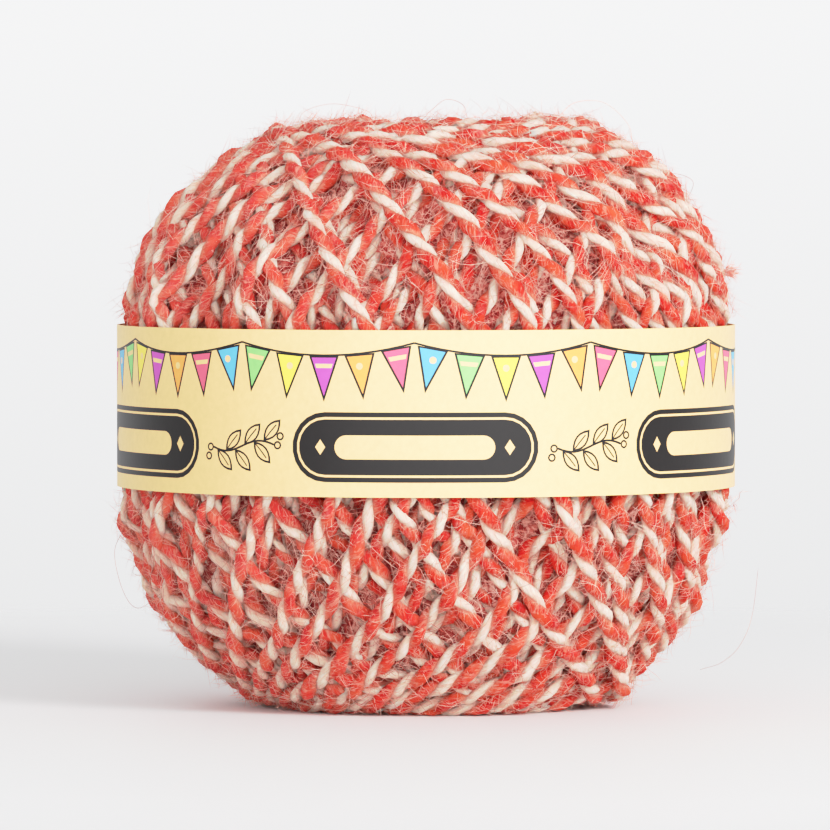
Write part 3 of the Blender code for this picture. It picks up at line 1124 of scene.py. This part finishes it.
def band_mesh():
    """The strip rolled into a ring, with its two ends joined and an inner face."""
    flat, triangles, shades = flat_print()
    same = np.arange(len(flat))
    for i in np.flatnonzero(np.isclose(flat[:, 0], PAPER_LENGTH)):
        twin = np.isclose(flat[:, 0], 0) & np.isclose(flat[:, 1], flat[i, 1])
        same[i] = np.flatnonzero(twin)[0]
    triangles = same[triangles]
    turn = flat[:, 0] / BAND_RADIUS + math.pi / 2

    def rolled(r):
        return np.stack([r * np.cos(turn), r * np.sin(turn), flat[:, 1] + BAND_BOTTOM], 1)

    radius = paper_radius(flat[:, 0])
    points = np.concatenate([rolled(radius), rolled(radius - PAPER_THICKNESS)])
    low, high = along_edge(flat, same, 0), along_edge(flat, same, BAND_HEIGHT)
    low_next, high_next = np.roll(low, -1), np.roll(high, -1)
    shift = len(flat)
    quads = np.concatenate([
        np.stack([high, high_next, high_next + shift, high + shift], 1),
        np.stack([low_next, low, low + shift, low_next + shift], 1),
        np.stack([low + shift, high + shift, high_next + shift, low_next + shift], 1),
    ])
    used = np.unique(np.concatenate([triangles.ravel(), quads.ravel()]))
    fresh = np.full(len(points), -1)
    fresh[used] = np.arange(len(used))
    materials = [paper_material(name, colour) for name, colour in paper_shades.items()]
    made = make_mesh(
        "printed_band", points[used], [fresh[triangles], fresh[quads]], materials,
        np.concatenate([shades, np.full(len(quads), PAPER)]))
    made.data.set_sharp_from_angle(angle=math.radians(35))
    return made


add_piece(band_mesh(), "paper_band")


# ------------ floor, light and camera
FLOOR_RADIUS = 350
FLOOR_SIDES = 96


def floor_finish():
    """A pale sheet that fades into the studio's white some way off."""
    m = Finish("floor", (0.91, 0.905, 0.91), {"Roughness": 0.6})
    away = m.add("ShaderNodeVectorMath", {0: m.place_of()}, operation="LENGTH")
    fade = m.between(away.outputs["Value"], 0.20, 0.34, interpolation_type="SMOOTHSTEP")
    clear = m.add("ShaderNodeBsdfTransparent")
    mix = m.add("ShaderNodeMixShader", {
        0: fade, 1: m.shader.outputs["BSDF"], 2: clear.outputs["BSDF"]})
    m.fill(m.tree.nodes["Material Output"], {"Surface": mix.outputs["Shader"]})
    return m.material


around = np.linspace(0, 2 * math.pi, FLOOR_SIDES, endpoint=False)
disc = np.stack([FLOOR_RADIUS * np.cos(around), FLOOR_RADIUS * np.sin(around), 0 * around], 1)
floor = make_mesh("floor", disc, [np.arange(FLOOR_SIDES)[None]], [floor_finish()], smooth=False)


BRIGHTEST_WAY = (0.14, -0.97, -0.20)


def studio():
    """White all round: brightest from behind the camera, stronger behind the ball too, and dimmer
    overhead and below the horizon."""
    world = bpy.data.worlds.new("studio")
    world.use_nodes = True
    w = Nodes(world.node_tree)
    way = w.add("ShaderNodeTexCoord").outputs["Generated"]
    axes = w.add("ShaderNodeSeparateXYZ", {"Vector": way})
    front = w.add(
        "ShaderNodeVectorMath", {0: way, 1: BRIGHTEST_WAY}, operation="DOT_PRODUCT")
    glow = w.between(front.outputs["Value"], 0.55, 1.0, most=5.5, least=1.0)
    overhead = w.between(axes.outputs["Z"], 0.2, 1.0, most=-0.5)
    backdrop = w.between(axes.outputs["Y"], 0.3, 0.8, most=0.53)
    horizon = w.between(axes.outputs["Z"], 0.02, -0.056, most=-0.32)
    strength = w.math("ADD", w.math("ADD", w.math("ADD", glow, overhead), backdrop), horizon)
    w.fill(world.node_tree.nodes["Background"], {
        "Color": (0.90, 0.905, 0.915, 1), "Strength": strength})
    return world


scene = bpy.context.scene
scene.world = studio()

# Tones run straight up to the mid tones, and then over a soft shoulder into white
SHOULDER = ((0.33, 0.33), (0.65, 0.64), (0.90, 0.755), (1.20, 0.862), (1.60, 0.95))
WHITE = (2.4, 1.0)
scene.view_settings.view_transform = "Standard"
scene.view_settings.use_curve_mapping = True
tones = scene.view_settings.curve_mapping
tones.clip_max_x = WHITE[0]
combined = tones.curves[3]
combined.points[-1].location = WHITE
for light_in, light_out in SHOULDER:
    combined.points.new(light_in, light_out)
tones.update()


def aimed(thing, position, target):
    """Puts a light or the camera in place and turns it to a point."""
    scene.collection.objects.link(thing)
    thing.location = position
    thing.rotation_mode = "QUATERNION"
    thing.rotation_quaternion = (Vector(target) - Vector(position)).to_track_quat("-Z", "Y")
    return thing


KEY_PLACE = (0.80, -1.0, 0.62)
KEY_TARGET = (0, 0, 0.05)
CAMERA_PLACE = (-0.0019, -1.302, 0.0906)
CAMERA_TARGET = (-0.0019, 0.0, 0.0499)

key = bpy.data.lights.new("key", "AREA")
key.shape = "DISK"
key.size = 0.45
key.energy = 18.0
aimed(bpy.data.objects.new("key", key), KEY_PLACE, KEY_TARGET)

view = bpy.data.cameras.new("camera")
view.lens = 328.0
view.clip_start = 0.05
view.clip_end = 20
scene.camera = aimed(bpy.data.objects.new("camera", view), CAMERA_PLACE, CAMERA_TARGET)
